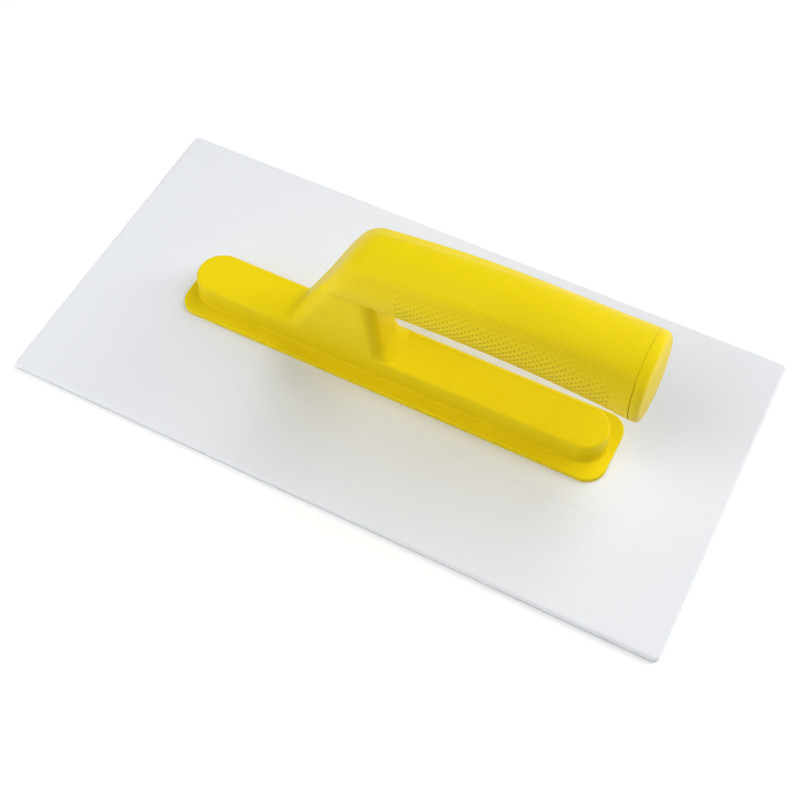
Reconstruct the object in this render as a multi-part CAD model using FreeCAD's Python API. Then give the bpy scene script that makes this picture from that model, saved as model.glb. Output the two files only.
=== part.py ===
import FreeCAD, Part
import math
import os

# Plastic smoothing float: a thin blade, a handle moulded in one piece with its foot plate, a plug that
# closes the hollow grip, and countersunk screws that hold the handle from the working face.
# Millimetres. X runs along the blade towards the grip's free end, Y across it, Z up from the working face.

V = FreeCAD.Vector

# Blade, with a low land under the handle
BLADE_LENGTH = 280.0
BLADE_WIDTH = 140.0
BLADE_THICKNESS = 3.0
BLADE_CORNER = 2.0
BLADE_TOP_ROUND = 1.1
BLADE_BOTTOM_ROUND = 0.4
LAND_LENGTH = 202.0
LAND_WIDTH = 54.6
LAND_CORNER = 5.0
LAND_RISE = 0.12

# Foot of the handle: a flange that lies on the land, and a raised hollow pad with half-round ends
FLANGE_LENGTH = 189.0
FLANGE_WIDTH = 32.6
FLANGE_CORNER = 8.0
FLANGE_THICKNESS = 2.2
FLANGE_ROUND = 0.7
FLANGE_CENTRE_X = -0.3
PAD_END_X = 82.0
PAD_FOOT_RADIUS = 10.2
PAD_TOP_RADIUS = 9.8
PAD_TOP_Z = 15.5
PAD_ROUND = 1.2
PAD_SINK = 1.0

# Stem between the pad and the grip: it leans towards the free end, and flares where it meets the pad
BACK_FOOT_X = -45.8
BACK_SLOPE = 0.557
THROAT_FOOT_X = -2.0
THROAT_SLOPE = -0.13
STEM_HALF_WIDTH = 9.6
STEM_BASE_Z = 4.5
STEM_BACK_CORNER = 6.0
STEM_THROAT_CORNER = 4.5
STEM_TOP_Z = 62.0
FLARE_RADIUS = 7.0
FLARE_DIP = 0.15

# Grip: a shallow arch whose section grows towards the free end and turns from squarish to oval
GRIP_START_X = -34.0
SEAM_X = 98.4
SEAM_Z = 63.7
SEAM_LEAN = 0.01
ARCH_TOP_X = 55.0
ARCH_TOP_Z = 65.5
ARCH_RADIUS = 500.0
HALF_WIDTH_AT_STEM = 13.9
HALF_WIDTH_AT_SEAM = 16.15
HEIGHT_RATIO = 1.08
SQUARENESS_AT_STEM = 2.3
SQUARENESS_AT_SEAM = 2.0
GRIP_BACK_ROUND = 5.0
SECTION_POINTS = 32
SECTION_PITCH = 20.0

# Hollows of the handle moulding
WALL = 2.6
BORE_START_X = -2.0
PAD_RIB = 1.8
PAD_RIB_COUNT = 7
PAD_RIB_TOP_Z = 22.0
STEM_CORE_TOP_Z = 44.0
STEM_CORE_DRAFT = 0.03
STEM_BACK_WALL = 3.6

# End plug
CAP_THICKNESS = 4.4
CAP_FACE_LEAN = 0.02
CAP_ROUND = 2.0
CAP_DOME_RADIUS = 75.0
CAP_SKIRT_LENGTH = 12.0
CAP_SKIRT_WALL = 2.0
CAP_SKIRT_LAP = 1.5
CAP_FIT = 0.05
SEAM_GROOVE = 0.35

# Countersunk self-tapping screws
SCREW_XS = (-78.0, -26.0, 26.0, 78.0)
SCREW_HEAD_RADIUS = 3.9
SCREW_SHANK_RADIUS = 2.0
SCREW_SINK = 0.4
SCREW_LENGTH = 10.4
SCREW_TIP_LENGTH = 2.0
SCREW_TIP_RADIUS = 0.3
SCREW_RECESS_DEPTH = 1.5
SCREW_RECESS_REACH = 2.2
SCREW_RECESS_WIDTH = 0.9
SCREW_RECESS_TAPER = 0.45
BOSS_RADIUS = 4.0

# Cutting blocks reach this far past the object, and lofts run on this far before they are cut to length
CUT_X = 150.0
CUT_Y = 40.0
CUT_LOW_Z = -10.0
CUT_HIGH_Z = 110.0
OVERRUN = 6.0

LAND_Z = BLADE_THICKNESS + LAND_RISE
FLANGE_TOP_Z = LAND_Z + FLANGE_THICKNESS
UP = V(0, 0, 1)


def prism(wire, height):
    return Part.Face(wire).extrude(V(0, 0, height))


def across(outline):
    """A block with the given (x, z) outline, right across the object's width."""
    corners = [V(x, -CUT_Y, z) for x, z in outline]
    return Part.Face(Part.makePolygon(corners + corners[:1])).extrude(V(0, 2 * CUT_Y, 0))


def rounded_rectangle(x0, x1, half_width, z, low_corner, high_corner):
    """A wire at height z with its own radius at the low-X and the high-X corners."""
    turns = (
        (x1 - high_corner, -half_width + high_corner, high_corner, -90.0),
        (x1 - high_corner, half_width - high_corner, high_corner, 0.0),
        (x0 + low_corner, half_width - low_corner, low_corner, 90.0),
        (x0 + low_corner, -half_width + low_corner, low_corner, 180.0),
    )
    arcs = []
    for x, y, radius, start in turns:
        arcs.append(Part.makeCircle(radius, V(x, y, z), UP, start, start + 90.0))
    edges = []
    for arc, following in zip(arcs, arcs[1:] + arcs[:1]):
        side = Part.makeLine(arc.valueAt(arc.LastParameter), following.valueAt(following.FirstParameter))
        edges.extend([arc, side])
    return Part.Wire(edges)


def centred_rectangle(length, width, corner, z):
    return rounded_rectangle(-length / 2, length / 2, width / 2, z, corner, corner)


def stadium(radius, z):
    """A wire at height z: two half circles about the pad's end centres, joined by straight sides."""
    right = Part.makeCircle(radius, V(PAD_END_X, 0, z), UP, -90.0, 90.0)
    left = Part.makeCircle(radius, V(-PAD_END_X, 0, z), UP, 90.0, 270.0)
    far_side = Part.makeLine(V(PAD_END_X, radius, z), V(-PAD_END_X, radius, z))
    near_side = Part.makeLine(V(-PAD_END_X, -radius, z), V(PAD_END_X, -radius, z))
    return Part.Wire([right, far_side, left, near_side])


def edges_at(shape, z):
    """The edges that lie wholly at height z."""
    flat = []
    for edge in shape.Edges:
        bounds = edge.BoundBox
        if abs(bounds.ZMin - z) < 1e-4 and abs(bounds.ZMax - z) < 1e-4:
            flat.append(edge)
    return flat


def ramp(x, low, high):
    """Goes evenly from low at the stem to high at the seam."""
    return low + (high - low) * x / SEAM_X


def grip_section(x, inset):
    """The grip's section at x, as a closed curve: a superellipse, drawn in by inset."""
    half_width = ramp(x, HALF_WIDTH_AT_STEM, HALF_WIDTH_AT_SEAM)
    half_height = half_width * HEIGHT_RATIO
    power = 2.0 / ramp(x, SQUARENESS_AT_STEM, SQUARENESS_AT_SEAM)
    centre_z = ARCH_TOP_Z - (x - ARCH_TOP_X) ** 2 / (2 * ARCH_RADIUS)
    points = []
    for i in range(SECTION_POINTS):
        angle = 2 * math.pi * i / SECTION_POINTS
        c, s = math.cos(angle), math.sin(angle)
        y = (half_width - inset) * math.copysign(abs(c) ** power, c)
        z = (half_height - inset) * math.copysign(abs(s) ** power, s)
        points.append(V(x, y, centre_z + z))
    curve = Part.BSplineCurve()
    curve.interpolate(Points=points, PeriodicFlag=True)
    return Part.Wire(curve.toShape())


def grip_loft(x0, x1, inset=0.0):
    spans = max(2, math.ceil((x1 - x0) / SECTION_PITCH))
    sections = [grip_section(x0 + (x1 - x0) * i / spans, inset) for i in range(spans + 1)]
    return Part.makeLoft(sections, True, False)


def back_x(z):
    return BACK_FOOT_X + BACK_SLOPE * (z - PAD_TOP_Z)


def throat_x(z):
    return THROAT_FOOT_X + THROAT_SLOPE * (z - PAD_TOP_Z)


def behind_back():
    """Everything behind the sloping back of the stem and grip."""
    return across([
        (back_x(CUT_LOW_Z), CUT_LOW_Z),
        (back_x(CUT_HIGH_Z), CUT_HIGH_Z),
        (-CUT_X, CUT_HIGH_Z),
        (-CUT_X, CUT_LOW_Z),
    ])


def beyond_seam(offset=0.0, lean=SEAM_LEAN):
    """Everything past a leaning plane, offset from the one where the plug meets the grip."""
    return across([
        (SEAM_X + offset + lean * (CUT_LOW_Z - SEAM_Z), CUT_LOW_Z),
        (CUT_X, CUT_LOW_Z),
        (CUT_X, CUT_HIGH_Z),
        (SEAM_X + offset + lean * (CUT_HIGH_Z - SEAM_Z), CUT_HIGH_Z),
    ])


def screw_seat(x):
    """The countersunk hole for one screw: sunk mouth, cone and shank hole."""
    cone_height = SCREW_HEAD_RADIUS - SCREW_SHANK_RADIUS
    mouth = Part.makeCylinder(SCREW_HEAD_RADIUS, SCREW_SINK, V(x, 0, 0))
    cone = Part.makeCone(SCREW_HEAD_RADIUS, SCREW_SHANK_RADIUS, cone_height, V(x, 0, SCREW_SINK))
    shank = Part.makeCylinder(SCREW_SHANK_RADIUS, LAND_Z, V(x, 0, 0))
    return mouth.fuse([cone, shank])


def blade():
    plate = prism(centred_rectangle(BLADE_LENGTH, BLADE_WIDTH, BLADE_CORNER, 0.0), BLADE_THICKNESS)
    plate = plate.makeFillet(BLADE_TOP_ROUND, edges_at(plate, BLADE_THICKNESS))
    plate = plate.makeFillet(BLADE_BOTTOM_ROUND, edges_at(plate, 0.0))
    land_base = BLADE_THICKNESS / 2
    land = prism(centred_rectangle(LAND_LENGTH, LAND_WIDTH, LAND_CORNER, land_base), LAND_Z - land_base)
    plate = plate.fuse(land).removeSplitter()
    for x in SCREW_XS:
        plate = plate.cut(screw_seat(x))
    return plate


def recess_outline(x, half_x, half_y, z):
    corners = [
        V(x - half_x, -half_y, z),
        V(x + half_x, -half_y, z),
        V(x + half_x, half_y, z),
        V(x - half_x, half_y, z),
    ]
    return Part.makePolygon(corners + corners[:1])


def screw(x):
    """One screw, head down, with a tapering cross recess."""
    cone_height = SCREW_HEAD_RADIUS - SCREW_SHANK_RADIUS
    shank_z = SCREW_SINK + cone_height
    tip_z = SCREW_SINK + SCREW_LENGTH - SCREW_TIP_LENGTH
    head = Part.makeCone(SCREW_HEAD_RADIUS, SCREW_SHANK_RADIUS, cone_height, V(x, 0, SCREW_SINK))
    shank = Part.makeCylinder(SCREW_SHANK_RADIUS, tip_z - shank_z, V(x, 0, shank_z))
    tip = Part.makeCone(SCREW_SHANK_RADIUS, SCREW_TIP_RADIUS, SCREW_TIP_LENGTH, V(x, 0, tip_z))
    body = head.fuse([shank, tip]).removeSplitter()
    long_way, short_way = SCREW_RECESS_REACH, SCREW_RECESS_WIDTH / 2
    floor_z = SCREW_SINK + SCREW_RECESS_DEPTH
    for half_x, half_y in ((long_way, short_way), (short_way, long_way)):
        mouth = recess_outline(x, half_x, half_y, SCREW_SINK)
        floor = recess_outline(x, half_x * SCREW_RECESS_TAPER, half_y * SCREW_RECESS_TAPER, floor_z)
        body = body.cut(Part.makeLoft([mouth, floor], True, True))
    return body


def flange():
    plan = centred_rectangle(FLANGE_LENGTH, FLANGE_WIDTH, FLANGE_CORNER, LAND_Z)
    plan.translate(V(FLANGE_CENTRE_X, 0, 0))
    plate = prism(plan, FLANGE_THICKNESS)
    return plate.makeFillet(FLANGE_ROUND, edges_at(plate, FLANGE_TOP_Z))


def pad():
    foot = stadium(PAD_FOOT_RADIUS, FLANGE_TOP_Z - PAD_SINK)
    block = Part.makeLoft([foot, stadium(PAD_TOP_RADIUS, PAD_TOP_Z)], True, True)
    return block.makeFillet(PAD_ROUND, edges_at(block, PAD_TOP_Z))


def flare_arc(line_x, slope, side):
    """The concave arc from the stem's sloping line down to the pad's top, which it dips just under.

    side is -1 at the back and +1 at the throat.
    """
    centre_z = PAD_TOP_Z - FLARE_DIP + FLARE_RADIUS
    lean = math.hypot(1.0, slope)
    centre = V(line_x(centre_z) + side * FLARE_RADIUS * lean, 0, centre_z)
    on_line = centre + V(-side, 0, side * slope) * (FLARE_RADIUS / lean)
    on_pad = centre - UP * FLARE_RADIUS
    outward = (on_line + on_pad) * 0.5 - centre
    outward.normalize()
    return Part.Arc(on_line, centre + outward * FLARE_RADIUS, on_pad).toShape()


def stem():
    """A slab with a sloping back, a sloping throat and flared feet, its long edges rounded."""
    back_arc = flare_arc(back_x, BACK_SLOPE, -1)
    throat_arc = flare_arc(throat_x, THROAT_SLOPE, 1)
    back_top = V(back_x(STEM_TOP_Z), 0, STEM_TOP_Z)
    throat_top = V(throat_x(STEM_TOP_Z), 0, STEM_TOP_Z)
    back_foot = back_arc.valueAt(back_arc.LastParameter)
    throat_foot = throat_arc.valueAt(throat_arc.LastParameter)
    back_low = V(back_foot.x, 0, STEM_BASE_Z)
    throat_low = V(throat_foot.x, 0, STEM_BASE_Z)
    outline = Part.Wire(Part.__sortEdges__([
        Part.makeLine(back_low, back_foot),
        back_arc,
        Part.makeLine(back_arc.valueAt(back_arc.FirstParameter), back_top),
        Part.makeLine(back_top, throat_top),
        Part.makeLine(throat_top, throat_arc.valueAt(throat_arc.FirstParameter)),
        throat_arc,
        Part.makeLine(throat_foot, throat_low),
        Part.makeLine(throat_low, back_low),
    ]))
    outline.translate(V(0, -STEM_HALF_WIDTH, 0))
    slab = Part.Face(outline).extrude(V(0, 2 * STEM_HALF_WIDTH, 0))
    back_edges, throat_edges = [], []
    for edge in slab.Edges:
        middle = edge.valueAt((edge.FirstParameter + edge.LastParameter) / 2)
        if edge.BoundBox.YLength > 0.01 or edge.BoundBox.ZLength < 1.0 or middle.z < PAD_TOP_Z:
            continue
        if middle.x < (BACK_FOOT_X + THROAT_FOOT_X) / 2 + BACK_SLOPE * (middle.z - PAD_TOP_Z):
            back_edges.append(edge)
        else:
            throat_edges.append(edge)
    return slab.makeFillet(STEM_BACK_CORNER, back_edges).makeFillet(STEM_THROAT_CORNER, throat_edges)


def grip():
    """The outer form of the grip: cut to the sloping back, rounded there, and cut off at the seam."""
    shaft = grip_loft(GRIP_START_X, SEAM_X + OVERRUN).cut(behind_back())
    back_rim = [edge for edge in shaft.Edges if edge.BoundBox.XMax < 0.0]
    shaft = shaft.makeFillet(GRIP_BACK_ROUND, back_rim).cut(beyond_seam())
    seam_rim = [edge for edge in shaft.Edges if edge.BoundBox.XMin > SEAM_X / 2]
    return shaft.makeChamfer(SEAM_GROOVE, seam_rim)


def foot_core():
    """The hollow under the pad and up inside the stem, crossed by ribs and screw bosses."""
    pad_core_top = PAD_TOP_Z - WALL
    pad_core = Part.makeLoft(
        [stadium(PAD_FOOT_RADIUS - WALL, LAND_Z), stadium(PAD_TOP_RADIUS - WALL, pad_core_top)], True, True
    )
    sections = []
    for z in (LAND_Z, STEM_CORE_TOP_Z):
        half_width = STEM_HALF_WIDTH - WALL - STEM_CORE_DRAFT * (z - LAND_Z)
        sections.append(rounded_rectangle(
            back_x(z) + STEM_BACK_WALL, throat_x(z) - WALL, half_width, z,
            STEM_BACK_CORNER - WALL, STEM_THROAT_CORNER - WALL,
        ))
    core = pad_core.fuse(Part.makeLoft(sections, True, True))
    pitch = 2 * PAD_END_X / (PAD_RIB_COUNT - 1)
    for i in range(PAD_RIB_COUNT):
        corner = V(-PAD_END_X + i * pitch - PAD_RIB / 2, -CUT_Y, LAND_Z)
        core = core.cut(Part.makeBox(PAD_RIB, 2 * CUT_Y, PAD_RIB_TOP_Z - LAND_Z, corner))
    for x in SCREW_XS:
        core = core.cut(Part.makeCylinder(BOSS_RADIUS, pad_core_top - LAND_Z, V(x, 0, LAND_Z)))
    return core


def handle():
    """One moulding: a cored foot and stem, joined to a grip that is bored out from its free end."""
    foot = flange().fuse(pad()).fuse(stem()).cut(foot_core())
    pilot_depth = SCREW_SINK + SCREW_LENGTH - LAND_Z
    for x in SCREW_XS:
        foot = foot.cut(Part.makeCylinder(SCREW_SHANK_RADIUS, pilot_depth, V(x, 0, LAND_Z)))
    return foot.fuse(grip().cut(grip_loft(BORE_START_X, SEAM_X + OVERRUN, WALL)))


def plug_skirt():
    """The thin sleeve that presses into the grip's bore and laps into the plug's disc."""
    outside = WALL + CAP_FIT
    inner_x = SEAM_X - CAP_SKIRT_LENGTH
    solid = grip_loft(inner_x, SEAM_X + OVERRUN / 2, outside)
    hollow = grip_loft(inner_x - 1.0, SEAM_X + OVERRUN, outside + CAP_SKIRT_WALL)
    return solid.cut(hollow).cut(beyond_seam(CAP_SKIRT_LAP))


def grip_plug():
    """The plug at the free end: a round-rimmed disc with a low dome, and a skirt."""
    block = grip_loft(SEAM_X - OVERRUN, SEAM_X + CAP_THICKNESS + OVERRUN)
    disc = block.common(beyond_seam()).cut(beyond_seam(CAP_THICKNESS, CAP_FACE_LEAN))
    middle_x = SEAM_X + CAP_THICKNESS / 2
    end_rim = [e for e in disc.Edges if e.BoundBox.XMin > middle_x and e.BoundBox.YLength > CAP_THICKNESS]
    disc = disc.makeFillet(CAP_ROUND, end_rim)
    disc = disc.makeChamfer(SEAM_GROOVE, [e for e in disc.Edges if e.BoundBox.XMax < middle_x])
    flat_radius = HALF_WIDTH_AT_SEAM - CAP_ROUND
    reach = math.sqrt(CAP_DOME_RADIUS ** 2 - flat_radius ** 2) - CAP_THICKNESS
    dome_centre = V(SEAM_X - reach, 0, SEAM_Z + reach * CAP_FACE_LEAN)
    dome = grip_loft(SEAM_X - OVERRUN, SEAM_X + CAP_THICKNESS + OVERRUN, CAP_ROUND)
    dome = dome.common(beyond_seam(CAP_ROUND)).common(Part.makeSphere(CAP_DOME_RADIUS, dome_centre))
    return disc.fuse([dome, plug_skirt()])


if __name__ == "__main__":
    os.makedirs("parts", exist_ok=True)
    nodes = {
        "blade": blade(),
        "handle": handle(),
        "grip_plug": grip_plug(),
        "blade_screws": Part.makeCompound([screw(x) for x in SCREW_XS]),
    }
    for name, shape in nodes.items():
        print(name, len(shape.Solids), shape.isValid(), round(shape.Volume))
        shape.exportStep("parts/" + name + ".step")
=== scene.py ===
import math
import bmesh
import bpy
import numpy as np
from mathutils import Matrix, Vector


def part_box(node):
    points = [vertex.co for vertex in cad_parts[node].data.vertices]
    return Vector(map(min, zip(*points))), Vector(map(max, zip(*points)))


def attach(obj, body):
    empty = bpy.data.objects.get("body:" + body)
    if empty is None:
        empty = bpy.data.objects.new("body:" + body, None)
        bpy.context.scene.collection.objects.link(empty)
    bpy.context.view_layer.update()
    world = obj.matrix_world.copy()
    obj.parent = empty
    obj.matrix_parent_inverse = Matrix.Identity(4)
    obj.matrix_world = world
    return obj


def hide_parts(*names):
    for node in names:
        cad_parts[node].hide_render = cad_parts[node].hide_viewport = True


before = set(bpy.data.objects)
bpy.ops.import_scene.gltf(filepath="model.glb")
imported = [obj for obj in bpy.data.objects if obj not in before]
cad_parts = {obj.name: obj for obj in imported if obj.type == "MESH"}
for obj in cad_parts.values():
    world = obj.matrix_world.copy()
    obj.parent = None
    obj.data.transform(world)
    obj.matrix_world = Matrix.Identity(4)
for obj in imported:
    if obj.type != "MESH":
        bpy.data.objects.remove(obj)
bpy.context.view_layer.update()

MM = 0.001

# ---------------------------------------------------------------- the handle's form, in millimetres
# Foot plate: its middle, the half lengths of its straight sides, its corners and its rounded top edge.
LAND_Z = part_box("handle")[0].z / MM
FLANGE_TOP, FLANGE_X = LAND_Z + 2.2, -0.3
FLANGE_ALONG, FLANGE_ACROSS, FLANGE_CORNER, FLANGE_EDGE = 86.5, 8.3, 8.0, 0.7
# Pad: the ends of its straight sides, its half width at the foot plate, its draft, edge and foot fillet.
PAD_TOP = 15.5
PAD_BACK, PAD_FRONT = -82.0, 80.9
PAD_HALF, PAD_DRAFT, PAD_EDGE, PAD_FILLET = 10.2, 0.4, 1.2, 0.8
# Stem: its two sloped faces, each with its place at the pad's top, its slope and the length of that slope.
BACK_FOOT_X, BACK_SLOPE, BACK_LENGTH = -45.8, 0.557, 1.145
THROAT_FOOT_X, THROAT_SLOPE, THROAT_LENGTH = -2.0, 0.13, 1.008
STEM_HALF, STEM_TOP, THROAT_EDGE, STEM_FILLET = 9.6, 62, 5.0, 1.3
# Grip: its half width at x = 0 and what it gains up to the seam, its arch, and its height over its width.
GRIP_HALF, GRIP_GAIN, END_GAIN = 13.9, 2.25, 0.3
ARCH_X, ARCH_Z, ARCH_FLATNESS, END_DROP = 55.0, 65.5, 1000.0, 0.4
HEIGHT = 1.08
# The seam with the plug, and the x where the rings of the grip begin.
SEAM_X, SEAM_Z, SEAM_LEAN, FACE_LEAN = 98.7, 63.7, -0.045, -0.02
TUBE_X = 4.09
# The dimples: their spacing, where the pattern is centred, their size, and the outline of their field.
COLUMN, ROW = 1.47, 1.37
DIMPLE_X, ROW_Z = 8.5, 65.5
DIMPLE_R, DIMPLE_DEPTH = 0.67, 0.62
PATCH_X, PATCH_HALF, PATCH_LOW, PATCH_CORNER = 49.4, 42.0, -11.6, 5.0
# Points on each ring of the grip between the two fields: over the top and underneath.
TOP_STEPS, UNDER_STEPS = 30, 26
# The bore: the wall's thickness at the grip's end and the depth that is built.
WALL, BORE_DEPTH = 2.6, 14.0
# The plug: its disc, the rounding of its rim, its dome, and the groove at the seam with its shallow top.
PLUG_THICK, PLUG_RIM, PLUG_DOME = 3.9, 2.3, 1.25
GROOVE, GROOVE_FADE, GROOVE_END = 0.50, 0.28, 0.44


def smooth(t):
    """A soft step from 0 at t = 0 to 1 at t = 1."""
    t = np.clip(t, 0, 1)
    return t * t * (3 - 2 * t)


def cut(a, b, r):
    """The part inside both a and b, with its edge rounded to radius r."""
    return np.minimum(-r, np.maximum(a, b)) + np.hypot(np.maximum(r + a, 0), np.maximum(r + b, 0))


def join(a, b, r):
    """a and b together, with a fillet of radius r between them."""
    return np.maximum(r, np.minimum(a, b)) - np.hypot(np.maximum(r - a, 0), np.maximum(r - b, 0))


def half_width(x):
    """The grip's half width before its soft ridges."""
    return GRIP_HALF + GRIP_GAIN * x / SEAM_X + END_GAIN * smooth((x - 86) / 12)


def centre_z(x):
    """The height of the grip's arched middle line."""
    return ARCH_Z - (x - ARCH_X) ** 2 / ARCH_FLATNESS - END_DROP * smooth((x - 60) / 40)


def radius(x, phi):
    """The grip's half width seen at angle phi, from -Y (0) up over the top; heights are HEIGHT times it."""
    n = 2.3 - 0.3 * x / SEAM_X
    c, s = np.abs(np.cos(phi)), np.abs(np.sin(phi))
    r = half_width(x) / (c ** n + s ** n) ** (1 / n)
    fade = 1 - smooth((x - 20) / 60)
    away = np.abs(phi - math.pi / 2)
    ridge = np.exp(-((away - 0.83) / 0.13) ** 2)
    dip = np.exp(-((away - 0.53) / 0.17) ** 2)
    shoulder = np.exp(-((away - 0.90) / 0.45) ** 2) * (1 - smooth((x - 66) / 32))
    return r * (1 + fade * (0.038 * ridge - 0.012 * dip) - 0.024 * shoulder)


def grip_field(x, y, z):
    """Distance to the grip, below zero inside."""
    h = (z - centre_z(x)) / HEIGHT
    phi = np.arctan2(h, -y)
    return 1.04 * (np.hypot(y, h) - radius(x, phi))


def back_x(z):
    """The stem's back face at height z."""
    return BACK_FOOT_X + BACK_SLOPE * (z - PAD_TOP)


def throat_x(z):
    """The stem's face towards the fingers at height z."""
    return THROAT_FOOT_X - THROAT_SLOPE * (z - PAD_TOP)


def handle_field(x, y, z):
    """Distance to the moulding, below zero inside. The grip ends just past TUBE_X."""
    qx, qy = np.abs(x - FLANGE_X) - FLANGE_ALONG, np.abs(y) - FLANGE_ACROSS
    outside = np.hypot(np.maximum(qx, 0), np.maximum(qy, 0))
    plan = outside + np.minimum(np.maximum(qx, qy), 0) - FLANGE_CORNER
    flange = cut(plan, z - FLANGE_TOP, FLANGE_EDGE)
    wide = PAD_HALF - PAD_DRAFT * (z - FLANGE_TOP) / (PAD_TOP - FLANGE_TOP)
    past_end = np.maximum(np.maximum(x - PAD_FRONT, PAD_BACK - x), 0)
    pad = cut(np.hypot(past_end, y) - wide, z - PAD_TOP, PAD_EDGE)
    foot = join(flange, pad, PAD_FILLET)
    flank = np.abs(y) - STEM_HALF - 0.2 * smooth((PAD_TOP + 6.5 - z) / 6.5)
    stem = cut((x - throat_x(z)) / THROAT_LENGTH, flank, THROAT_EDGE)
    stem = np.maximum(stem, z - STEM_TOP)
    grip = np.maximum(grip_field(x, y, z), x - TUBE_X - 1.5)
    upper = join(grip, stem, STEM_FILLET)
    upper = cut(upper, (back_x(z) - x) / BACK_LENGTH, 6.0 - 0.6 * smooth((z - 52) / 24))
    reach = 2.9 + 2.2 * smooth((x + 25) / 15)
    fillet = 0.05 + reach * smooth((z - PAD_TOP + 0.9) / 1.2) * smooth((9.9 - np.abs(y)) / 2)
    return np.maximum(join(foot, upper, fillet), LAND_Z - 1.0 - z)


def gradient(field, p, h=0.03):
    """The field's slope at each point."""
    g = np.empty_like(p)
    for k in range(3):
        a, b = p.copy(), p.copy()
        a[:, k] += h
        b[:, k] -= h
        g[:, k] = (field(*a.T) - field(*b.T)) / (2 * h)
    return g


def settle(field, p, steps):
    """Moves points onto the surface along the field's slope."""
    for _ in range(steps):
        g = gradient(field, p)
        move = field(*p.T)[:, None] * g / np.maximum((g * g).sum(1), 0.2)[:, None]
        p = p - np.clip(move, -0.4, 0.4)
    return p


def surface_net(xs, ys, zs, field):
    """One vertex in each grid cell that the surface crosses, and a quad across each grid line that it cuts."""
    axes = (xs, ys, zs)
    f = field(*np.meshgrid(xs, ys, zs, indexing="ij"))
    cells = tuple(n - 1 for n in f.shape)
    total, hits, quads = np.zeros((int(np.prod(cells)), 3)), np.zeros(int(np.prod(cells))), []
    for k in range(3):
        low = np.take(f, range(f.shape[k] - 1), axis=k)
        high = np.take(f, range(1, f.shape[k]), axis=k)
        at = np.array(np.nonzero((low < 0) != (high < 0))).T
        a, b = low[tuple(at.T)], high[tuple(at.T)]
        point = np.stack([axes[j][at[:, j]] for j in range(3)], 1).astype(float)
        point[:, k] += a / (a - b) * (axes[k][at[:, k] + 1] - axes[k][at[:, k]])
        u, v = (k + 1) % 3, (k + 2) % 3
        ring = []
        for du, dv in ((0, 0), (1, 0), (1, 1), (0, 1)):
            cell = at.copy()
            cell[:, u] -= du
            cell[:, v] -= dv
            flat = np.ravel_multi_index(tuple(np.clip(cell, 0, np.array(cells) - 1).T), cells)
            ring.append(flat)
            for j in range(3):
                total[:, j] += np.bincount(flat, point[:, j], len(total))
            hits += np.bincount(flat, minlength=len(hits))
        ring = np.stack(ring, 1)
        ring[a >= 0] = ring[a >= 0][:, ::-1]
        quads.append(ring)
    used = np.nonzero(hits)[0]
    number = np.full(len(hits), -1)
    number[used] = np.arange(len(used))
    return total[used] / hits[used][:, None], number[np.concatenate(quads)]


def relax(p, quads, field, rounds):
    """Evens out the spacing of the points while keeping them on the surface."""
    a = quads.ravel()
    b = np.roll(quads, -1, axis=1).ravel()
    ends, others = np.concatenate([a, b]), np.concatenate([b, a])
    count = np.bincount(ends, minlength=len(p))[:, None]
    for _ in range(rounds):
        mean = np.stack([np.bincount(ends, p[others, k], len(p)) for k in range(3)], 1) / count
        p = settle(field, p + 0.35 * (mean - p), 2)
    return p


def lines(*runs):
    """Grid lines: each run is (start, end, pitch)."""
    parts = [np.linspace(a, b, max(1, round((b - a) / h)), endpoint=False) for a, b, h in runs]
    return np.concatenate(parts + [[runs[-1][1]]])


def tube_point(x, phi, inset=0.0, lean=0.0):
    """A point of the grip's surface; lean turns the section towards the plane of the seam."""
    at = x
    for _ in range(2):
        z = centre_z(at) + HEIGHT * (radius(at, phi) - inset) * np.sin(phi)
        at = x + lean * (z - SEAM_Z)
    r = radius(at, phi) - inset
    return np.stack([at + 0 * phi, -r * np.cos(phi), centre_z(at) + HEIGHT * r * np.sin(phi)], -1)


def hollow(x, arc):
    """The dimple pattern at a place on the grip's side: 0 outside a dimple, most at its middle."""
    u, v = (x - DIMPLE_X) / COLUMN, arc / ROW
    a, b = np.round((u + v) / 2), np.round((u - v) / 2)
    cx, cs = (a + b) * COLUMN + DIMPLE_X, (a - b) * ROW
    above = 12.0 - 0.0021 * (cx - 54) ** 2 - cs
    qx = PATCH_CORNER - PATCH_HALF + np.abs(cx - PATCH_X)
    qs = PATCH_CORNER - np.minimum(above, cs - PATCH_LOW)
    inside = np.hypot(np.maximum(qx, 0), np.maximum(qs, 0)) < PATCH_CORNER
    r2 = ((x - cx) ** 2 + (arc - cs) ** 2) / DIMPLE_R ** 2
    depth = 0.15 + 0.85 * smooth((above - 1) / 22) + 0.25 * smooth((above - 15) / 8)
    return np.where(inside, depth * np.maximum(1 - r2, 0), 0)


def painted_shade(p):
    """How much painted shade darkens the grip's colour: most low on its sides and near the free end."""
    x, z = p[:, 0], p[:, 2]
    away = np.degrees(np.abs((angle_of(p) + math.pi / 2) % (2 * math.pi) - math.pi))
    outer = smooth((x - 20) / 60)
    side = (0.35 + 0.35 * outer) * smooth((away - 46 + 14 * outer) / (14 + 8 * outer)) * smooth((x + 26) / 26)
    low = 0.45 * smooth((x + 4) / 50) * smooth((away - 98) / 24)
    return np.where(z > 40, (side + low) * smooth((z - 46) / 6 + 9 * smooth((x - 2) / 10)), 0)


def arc_angle(x, arc):
    """The angle on the near side of a row of the pattern; rows run straight along the grip."""
    return (arc - 0.9 * (centre_z(x) - ROW_Z)) / (1.03 * half_width(x))


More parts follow.
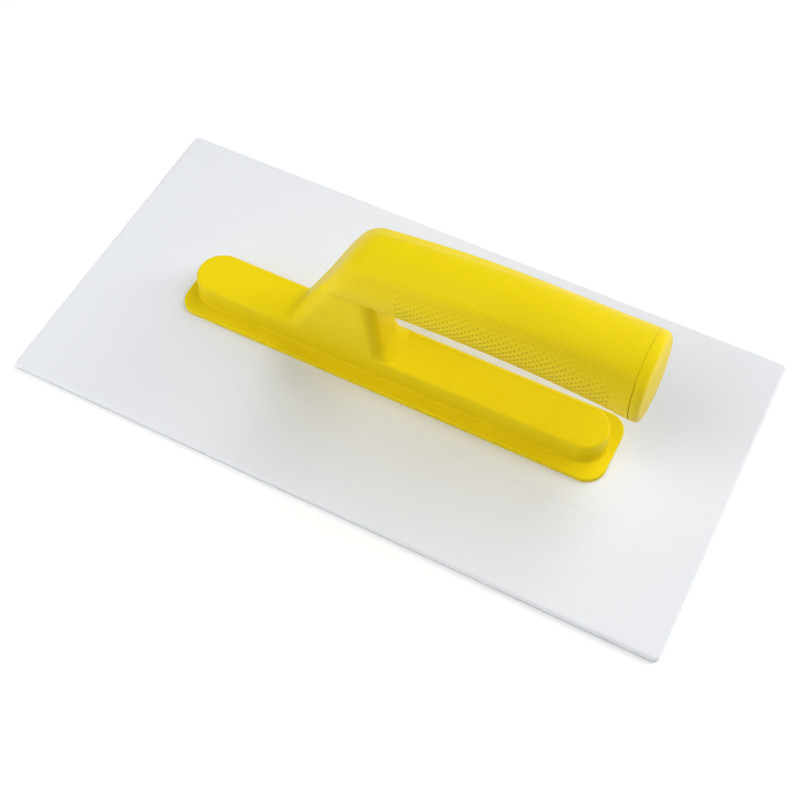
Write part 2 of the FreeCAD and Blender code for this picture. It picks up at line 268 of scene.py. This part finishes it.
def tube_grid():
    """Rings of the grip from TUBE_X to the seam: points, normals, and how far each point is in a dimple."""
    fine = np.arange(TUBE_X, 91.3, COLUMN / 4)
    coarse = np.linspace(fine[-1], SEAM_X, 10)[1:]
    xs = np.concatenate([fine, coarse])
    leans = SEAM_LEAN * smooth((xs - 90) / (SEAM_X - 90))
    rows = np.arange(-36, 34) * ROW / 4
    n = len(rows)

    def surface(x, lean, k, shift=0.0, hollows=False):
        """Point k of the ring at x, or how far it is in a dimple; shift moves it along the ring."""
        near = k < n
        far = (k >= n + TOP_STEPS) & (k < 2 * n + TOP_STEPS)
        top = (k >= n) & (k < n + TOP_STEPS)
        mirrored = 2 * n + TOP_STEPS - 1 - k
        arc = np.where(near, rows[np.clip(k, 0, n - 1)], rows[np.clip(mirrored, 0, n - 1)])
        side = arc_angle(x, arc + np.where(near, shift, -shift))
        step = shift / (1.03 * half_width(x))
        hi, lo = arc_angle(x, rows[-1]), arc_angle(x, rows[0])
        over = hi + (math.pi - 2 * hi) * (k - n + 1) / (TOP_STEPS + 1) + step
        under = math.pi - lo + (math.pi + 2 * lo) * (k - 2 * n - TOP_STEPS + 1) / (UNDER_STEPS + 1) + step
        phi = np.where(near, side, np.where(far, math.pi - side, np.where(top, over, under)))
        here = np.where(near | far, arc + np.where(near, shift, -shift), 99.0)
        if hollows:
            return hollow(x, here)
        return tube_point(x, phi, DIMPLE_DEPTH * hollow(x, here), lean)

    k = np.arange(2 * n + TOP_STEPS + UNDER_STEPS)
    points, normals, hollows = [], [], []
    for x, lean in zip(xs, leans):
        h = 0.03
        along = surface(x + h, lean, k) - surface(x - h, lean, k)
        around = surface(x, lean, k, h) - surface(x, lean, k, -h)
        normal = np.cross(along, around)
        points.append(surface(x, lean, k))
        normals.append(normal / np.linalg.norm(normal, axis=1)[:, None])
        hollows.append(surface(x, lean, k, hollows=True))
    return np.array(points), np.array(normals), np.array(hollows)


def ring_quads(start, rings, size):
    """Quads between rings of the same size whose points are numbered from start."""
    i = np.arange(size)
    j = (i + 1) % size
    out = []
    for r in range(rings - 1):
        a, b = start + r * size, start + (r + 1) * size
        out.append(np.stack([a + i, b + i, b + j, a + j], 1))
    return np.concatenate(out)


def new_mesh(name, points, faces):
    """A smooth mesh in metres from points in millimetres."""
    mesh = bpy.data.meshes.new(name)
    mesh.from_pydata((points * MM).tolist(), [], faces)
    mesh.polygons.foreach_set("use_smooth", [True] * len(mesh.polygons))
    return mesh


def paint(mesh, name, values):
    """Gives each point of the mesh a number that its material reads."""
    mesh.attributes.new(name, "FLOAT", "POINT").data.foreach_set("value", values)


def place(data):
    """Puts a mesh, light or camera into the scene under its own name."""
    obj = bpy.data.objects.new(data.name, data)
    bpy.context.scene.collection.objects.link(obj)
    return obj


def trimmed_net():
    """The foot, stem and back of the grip: points, faces, and which faces are the flat underside."""
    xs = lines((-97, -80, 0.5), (-80, -50, 1.25), (-50, 7, 0.8), (7, 80, 1.25), (80, 96, 0.5))
    ys = lines((0, 8.2, 0.8), (8.2, 10.7, 0.3), (10.7, 15.2, 0.8), (15.2, 17.5, 0.3))
    ys = np.concatenate([-ys[:0:-1], ys])
    zs = lines((1.5, 4.5, 0.5), (4.5, 5.9, 0.2), (5.9, 14, 0.8), (14, 16.4, 0.25), (16.4, 85, 0.8))
    p, quads = surface_net(xs, ys, zs, handle_field)
    p = relax(settle(handle_field, p, 5), quads, handle_field, 3)
    p = settle(handle_field, p, 3)
    bm = bmesh.new()
    verts = [bm.verts.new(v) for v in p]
    for q in quads:
        bm.faces.new([verts[i] for i in q])
    bm.normal_update()
    low = bmesh.ops.bisect_plane(bm, geom=bm.verts[:] + bm.edges[:] + bm.faces[:], dist=1e-5,
                                 plane_co=(0, 0, LAND_Z), plane_no=(0, 0, -1), clear_outer=True)
    rim = [e for e in low["geom_cut"] if isinstance(e, bmesh.types.BMEdge)]
    under = bmesh.ops.holes_fill(bm, edges=rim, sides=0)["faces"]
    for face in under:
        face.material_index = 1
    high = [f for f in bm.faces if f.calc_center_median().z > 40]
    geom = set(high)
    for f in high:
        geom.update(f.verts)
        geom.update(f.edges)
    bmesh.ops.bisect_plane(bm, geom=list(geom), dist=1e-5, plane_co=(TUBE_X - 0.8, 0, 60), plane_no=(1, 0, 0),
                           clear_outer=True)
    bm.verts.index_update()
    points = np.array([v.co[:] for v in bm.verts])
    faces = [[v.index for v in f.verts] for f in bm.faces]
    flat = [f.material_index == 1 for f in bm.faces]
    edge = sorted({v.index for e in bm.edges if e.is_boundary for v in e.verts})
    bm.free()
    return points, faces, flat, edge


def zip_rings(a, a_phi, b, b_phi):
    """Triangles between two rings of different counts, each given in order of angle."""
    out, i, j = [], 0, 0
    while i < len(a) or j < len(b):
        next_a = a_phi[i + 1] if i + 1 < len(a) else a_phi[0] + 2 * math.pi if i < len(a) else 1e9
        next_b = b_phi[j + 1] if j + 1 < len(b) else b_phi[0] + 2 * math.pi if j < len(b) else 1e9
        ai, bj = a[i % len(a)], b[j % len(b)]
        if next_a <= next_b:
            out.append([ai, bj, a[(i + 1) % len(a)]])
            i += 1
        else:
            out.append([ai, bj, b[(j + 1) % len(b)]])
            j += 1
    return out


def angle_of(p):
    """The angle of each point round the grip's middle line, from -Y (0) up over the top."""
    return np.arctan2((p[:, 2] - centre_z(p[:, 0])) / HEIGHT, -p[:, 1]) % (2 * math.pi)


def build_handle():
    """The moulding: foot, stem and back of the grip, a collar of triangles, the grip's rings, and its bore."""
    points, faces, flat, edge = trimmed_net()
    base = len(points)
    normals = gradient(handle_field, points, 0.05)
    normals /= np.linalg.norm(normals, axis=1)[:, None]
    rings, ring_normals, hollows = tube_grid()
    count, size = rings.shape[:2]
    first = np.arange(base, base + size)
    order = np.argsort(angle_of(points[edge]))
    a = np.array(edge)[order]
    order_b = np.argsort(angle_of(rings[0]))
    b = first[order_b]
    collar = zip_rings(a, angle_of(points[a]), b, angle_of(rings[0][order_b]))
    tube = ring_quads(base, count, size)
    end = rings[-1]
    middle = np.array([SEAM_X, 0, centre_z(SEAM_X)])
    toward = middle - end
    lip = end + toward * (WALL / np.linalg.norm(toward, axis=1))[:, None]
    deep = lip - np.array([BORE_DEPTH, 0, 0])
    heart = middle - np.array([BORE_DEPTH, 0, 0])
    all_points = np.concatenate([points, rings.reshape(-1, 3), lip, deep, [heart]])
    all_normals = np.concatenate([normals, ring_normals.reshape(-1, 3)])
    last = base + (count - 1) * size
    lip_at, deep_at, heart_at = base + count * size, base + (count + 1) * size, base + (count + 2) * size
    i = np.arange(size)
    j = (i + 1) % size
    face_end = np.stack([last + i, lip_at + i, lip_at + j, last + j], 1)
    bore = np.stack([lip_at + i, deep_at + i, deep_at + j, lip_at + j], 1)
    bore_end = np.stack([deep_at + i, np.full(size, heart_at), deep_at + j], 1)
    outward = np.array([1.0, 0, -SEAM_LEAN])
    outward /= np.linalg.norm(outward)
    to_axis = toward / np.linalg.norm(toward, axis=1)[:, None]
    corners = []
    for face, is_flat in zip(faces, flat):
        corners += [(0.0, 0.0, -1.0)] * len(face) if is_flat else [tuple(all_normals[v]) for v in face]
    for face in collar + tube.tolist():
        corners += [tuple(all_normals[v]) for v in face]
    corners += [tuple(outward)] * face_end.size
    corners += [tuple(to_axis[(v - lip_at) % size]) for v in bore.ravel()]
    corners += [(1.0, 0.0, 0.0)] * bore_end.size
    all_faces = faces + collar + tube.tolist() + face_end.tolist() + bore.tolist() + bore_end.tolist()
    mesh = new_mesh("handle_moulding", all_points, all_faces)
    mesh.normals_split_custom_set(corners)
    mesh.validate(clean_customdata=False)
    depth = np.zeros(len(all_points))
    depth[base:base + count * size] = hollows.ravel()
    paint(mesh, "hollow", depth)
    # Painted shade, low on the grip's sides and underside and towards its free end.
    paint(mesh, "painted_shade", painted_shade(all_points))
    return place(mesh)


def build_plug():
    """The plug: a groove at the seam, a side band, a rounded rim, a low dome, and a skirt behind."""
    # Each pair is a distance past the seam and an inset from the grip's surface.
    profile = [(-11.0, 4.6), (-11.0, 2.9), (-0.2, 2.7), (0.0, 2.7), (0.0, GROOVE), (0.26, GROOVE), (0.28, 0.14),
               (GROOVE_END, 0.0)]
    band = PLUG_THICK - PLUG_RIM
    profile += [(GROOVE_END + (band - GROOVE_END) * t, 0.0) for t in (0.33, 0.66)]
    profile += [(band + PLUG_RIM * math.sin(t), PLUG_RIM - PLUG_RIM * math.cos(t))
                for t in np.linspace(0, math.pi / 2, 13)]
    size = 180
    phi = np.linspace(0, 2 * math.pi, size, endpoint=False)
    rings = []
    for dx, inset in profile:
        share = min(max(dx / PLUG_THICK, 0), 1)
        lean = SEAM_LEAN + (FACE_LEAN - SEAM_LEAN) * share
        if inset == GROOVE:
            inset = GROOVE - GROOVE_FADE * smooth(np.sin(phi))
        rings.append(tube_point(SEAM_X + dx + 0 * phi, phi, inset, lean if dx > -1 else 0.0))
    flat = rings[-1]
    middle = flat.mean(axis=0)
    for t in (0.94, 0.86, 0.74, 0.6, 0.45, 0.3, 0.15):
        ring = middle + (flat - middle) * t
        ring[:, 0] += PLUG_DOME * (1 - t * t)
        rings.append(ring)
    points = np.concatenate(rings + [[middle + np.array([PLUG_DOME, 0, 0])], [rings[0].mean(axis=0)]])
    count = len(rings)
    faces = ring_quads(0, count, size).tolist()
    i = np.arange(size)
    j = (i + 1) % size
    last = (count - 1) * size
    faces += np.stack([last + i, np.full(size, count * size), last + j], 1).tolist()
    faces += np.stack([i, j, np.full(size, count * size + 1)], 1).tolist()
    mesh = new_mesh("end_plug", points, faces)
    mesh.set_sharp_from_angle(angle=math.radians(35))
    z = points[:, 2]
    # Painted shade, darker low on the plug.
    paint(mesh, "painted_shade", 0.75 * smooth((79 - z) / 10) + 0.4 * smooth((65 - z) / 9))
    return place(mesh)


# ---------------------------------------------------------------- materials
class Nodes:
    """A new material and short ways to add nodes to it; place is the point on the object, in metres."""

    def __init__(self, name):
        self.material = bpy.data.materials.new(name)
        self.material.use_nodes = True
        self.tree = self.material.node_tree
        self.shader = self.tree.nodes["Principled BSDF"]
        self.place = self.add("ShaderNodeTexCoord").outputs["Object"]

    def add(self, kind, **values):
        node = self.tree.nodes.new(kind)
        for key, value in values.items():
            if hasattr(node, key):
                setattr(node, key, value)
            else:
                node.inputs[key.replace("_", " ")].default_value = value
        return node

    def link(self, a, b):
        self.tree.links.new(a, b)

    def noise(self, scale, detail=2.0, rough=0.5, stretch=None):
        """Noise over the object, finer with a larger scale; stretch scales each axis first."""
        node = self.add("ShaderNodeTexNoise")
        node.inputs["Scale"].default_value = scale
        node.inputs["Detail"].default_value = detail
        node.inputs["Roughness"].default_value = rough
        source = self.place
        if stretch:
            mapping = self.add("ShaderNodeMapping")
            mapping.inputs["Scale"].default_value = stretch
            self.link(source, mapping.inputs["Vector"])
            source = mapping.outputs["Vector"]
        self.link(source, node.inputs["Vector"])
        return node.outputs["Fac"]

    def spread(self, value, low, high, a=0.3, b=0.7):
        """Takes a value from the range a to b to the range low to high."""
        node = self.add("ShaderNodeMapRange")
        node.inputs["From Min"].default_value = a
        node.inputs["From Max"].default_value = b
        node.inputs["To Min"].default_value = low
        node.inputs["To Max"].default_value = high
        self.link(value, node.inputs["Value"])
        return node.outputs["Result"]

    def blend(self, factor, a, b):
        """A colour between a, which may be another node's, and b."""
        node = self.add("ShaderNodeMix")
        node.data_type = "RGBA"
        node.inputs["A"].default_value = (*a, 1) if isinstance(a, tuple) else (0, 0, 0, 1)
        node.inputs["B"].default_value = (*b, 1)
        if not isinstance(a, tuple):
            self.link(a, node.inputs["A"])
        self.link(factor, node.inputs["Factor"])
        return node.outputs["Result"]

    def bump(self, height, distance, strength, under=None):
        """A relief; under is a finer one that it is added to."""
        node = self.add("ShaderNodeBump")
        node.inputs["Strength"].default_value = strength
        node.inputs["Distance"].default_value = distance
        self.link(height, node.inputs["Height"])
        if under:
            self.link(under, node.inputs["Normal"])
        return node.outputs["Normal"]


def yellow_plastic(name, grain, rough):
    """Satin moulded plastic: faint clouds and specks, painted shade low on the sides and near the free end, and
    painted shade in the dimples.
    """
    m = Nodes(name)
    tone = m.blend(m.spread(m.noise(28, 3), 0, 1), (0.878, 0.680, 0.0075), (0.912, 0.714, 0.0095))
    tone = m.blend(m.spread(m.noise(900, 2), 0, 0.5, 0.35, 0.75), tone, (0.858, 0.660, 0.0080))
    # Painted shade: the colour darkens towards a dull olive where the mesh's attribute says.
    shade_mix = m.add("ShaderNodeAttribute", attribute_name="painted_shade").outputs["Fac"]
    tone = m.blend(shade_mix, tone, (0.74, 0.56, 0.013))
    # Painted shade in the dimples: the colour darkens with each dimple's depth.
    depth = m.add("ShaderNodeAttribute", attribute_name="hollow").outputs["Fac"]
    tone = m.blend(m.spread(depth, 0, 1, 0.05, 0.9), tone, (0.30, 0.18, 0.003))
    m.link(tone, m.shader.inputs["Base Color"])
    m.link(m.spread(m.noise(160, 4), rough - 0.04, rough + 0.05), m.shader.inputs["Roughness"])
    fine = m.bump(m.noise(2600, 2), 0.00004, grain)
    m.link(m.bump(m.noise(120, 2), 0.0002, 0.05, fine), m.shader.inputs["Normal"])
    m.shader.inputs["IOR"].default_value = 1.49
    m.shader.inputs["Specular IOR Level"].default_value = 0.18
    m.shader.inputs["Specular Tint"].default_value = (1.0, 0.88, 0.25, 1)
    m.shader.inputs["Subsurface Weight"].default_value = 0.10
    m.shader.inputs["Subsurface Scale"].default_value = 0.002
    m.shader.inputs["Subsurface Radius"].default_value = (1.0, 0.7, 0.1)
    return m.material


def white_plastic(name):
    """Matt white sheet: faint clouds, fine scuffs along the blade, and a painted contact shadow low on its
    edge.
    """
    m = Nodes(name)
    tone = m.blend(m.spread(m.noise(14, 3), 0, 1), (0.846, 0.870, 0.915), (0.868, 0.892, 0.937))
    scuff = m.spread(m.noise(40, 5, 0.7, (1.0, 14.0, 1.0)), 0, 0.6, 0.62, 0.80)
    tone = m.blend(scuff, tone, (0.826, 0.850, 0.890))
    height = m.add("ShaderNodeSeparateXYZ")
    m.link(m.place, height.inputs[0])
    # Painted contact shadow: a grey band on the lowest 1.8 mm of the blade's edge, just above its flat
    # underside.
    contact_shadow = m.add("ShaderNodeMath", operation="MULTIPLY")
    m.link(m.spread(height.outputs["Z"], 0, 1, 0.00002, 0.00015), contact_shadow.inputs[0])
    m.link(m.spread(height.outputs["Z"], 0.85, 0, 0.0006, 0.0018), contact_shadow.inputs[1])
    tone = m.blend(contact_shadow.outputs[0], tone, (0.46, 0.48, 0.49))
    m.link(tone, m.shader.inputs["Base Color"])
    m.link(m.spread(m.noise(60, 5, 0.65, (1.0, 10.0, 1.0)), 0.40, 0.52), m.shader.inputs["Roughness"])
    fine = m.bump(m.noise(1800, 2), 0.00003, 0.25)
    m.link(m.bump(m.noise(9, 1), 0.0015, 0.04, fine), m.shader.inputs["Normal"])
    m.shader.inputs["IOR"].default_value = 1.5
    m.shader.inputs["Subsurface Weight"].default_value = 0.08
    m.shader.inputs["Subsurface Scale"].default_value = 0.003
    m.shader.inputs["Subsurface Radius"].default_value = (1.0, 1.0, 1.0)
    return m.material


def zinc_steel(name):
    """Zinc-plated steel with uneven shine."""
    m = Nodes(name)
    tone = m.blend(m.spread(m.noise(300, 3), 0, 1), (0.56, 0.57, 0.58), (0.66, 0.66, 0.66))
    m.link(tone, m.shader.inputs["Base Color"])
    m.shader.inputs["Metallic"].default_value = 1.0
    m.link(m.spread(m.noise(900, 3), 0.24, 0.42), m.shader.inputs["Roughness"])
    m.link(m.bump(m.noise(1500, 3), 0.00003, 0.4), m.shader.inputs["Normal"])
    return m.material


def dress(obj, material):
    """Gives an object its one material."""
    obj.data.materials.clear()
    obj.data.materials.append(material)


handle = build_handle()
dress(handle, yellow_plastic("yellow_moulding", 0.30, 0.42))
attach(handle, "root")
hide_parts("handle")

plug = build_plug()
dress(plug, yellow_plastic("yellow_plug", 0.22, 0.40))
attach(plug, "root")
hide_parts("grip_plug")

dress(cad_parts["blade"], white_plastic("white_blade"))
dress(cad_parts["blade_screws"], zinc_steel("zinc_screw"))


# ---------------------------------------------------------------- floor, light and camera
floor_mesh = bpy.data.meshes.new("floor")
floor_mesh.from_pydata([(-4, -4, 0), (4, -4, 0), (4, 4, 0), (-4, 4, 0)], [], [(0, 1, 2, 3)])
floor = place(floor_mesh)
floor.location.z = -0.00005
paper = Nodes("paper")
paper.shader.inputs["Base Color"].default_value = (0.93, 0.93, 0.93, 1)
paper.shader.inputs["Roughness"].default_value = 0.9
paper.shader.inputs["Emission Color"].default_value = (1, 1, 1, 1)
# The floor glows a little under the object and fully a metre away, so that it runs into the white behind.
far = paper.add("ShaderNodeVectorMath", operation="LENGTH")
paper.link(paper.place, far.inputs[0])
paper.link(paper.spread(far.outputs["Value"], 0.18, 1.0, 0.4, 1.0), paper.shader.inputs["Emission Strength"])
floor_mesh.materials.append(paper.material)

world = bpy.data.worlds.new("studio")
world.use_nodes = True
world.node_tree.nodes["Background"].inputs["Color"].default_value = (1, 1, 1, 1)
bpy.context.scene.world = world
world.cycles_visibility.diffuse = False
world.cycles_visibility.glossy = False


def softbox(number, azimuth, height, distance, power):
    """A square light that faces the middle of the object, at an azimuth and height in degrees.

    The lights behind the object only light it: they make no reflections along its far edges.
    """
    a, e = math.radians(azimuth), math.radians(height)
    spot = distance * Vector((math.cos(a) * math.cos(e), math.sin(a) * math.cos(e), math.sin(e)))
    light = bpy.data.lights.new("softbox_%d" % number, "AREA")
    light.size = 0.53 * distance
    light.energy = power
    obj = place(light)
    obj.visible_glossy = not 0 < azimuth < 180
    obj.location = spot
    obj.rotation_mode = "QUATERNION"
    obj.rotation_quaternion = (-spot).to_track_quat("-Z", "Y")


# Azimuth, height, distance in metres, and power in watts.
LIGHTS = ((0, 58, 1.7, 5.2), (30, 25, 1.7, 9.6), (60, 58, 1.7, 8.8), (75, 25, 1.7, 3.7), (90, 42, 1.7, 2.6),
          (210, 25, 0.9, 1.65), (240, 12, 0.9, 1.6), (240, 62, 0.9, 2.3))
for number, setting in enumerate(LIGHTS):
    softbox(number, *setting)

camera = bpy.data.cameras.new("camera")
camera.sensor_width = 36.0
camera.lens = 58.90
camera.clip_start = 0.01
eye = place(camera)
right = Vector((0.88591806, 0.46326949, -0.02303413))
up = Vector((-0.38146323, 0.75593141, 0.53202772))
behind = Vector((0.26388443, -0.4625463, 0.84641357))
turn = Matrix((right, up, behind)).transposed()
eye.matrix_world = Matrix.Translation((0.14616, -0.25507, 0.442938)) @ turn.to_4x4()
bpy.context.scene.camera = eye
bpy.context.scene.view_settings.view_transform = "Standard"
bpy.context.scene.view_settings.look = "None"

bpy.context.view_layer.update()
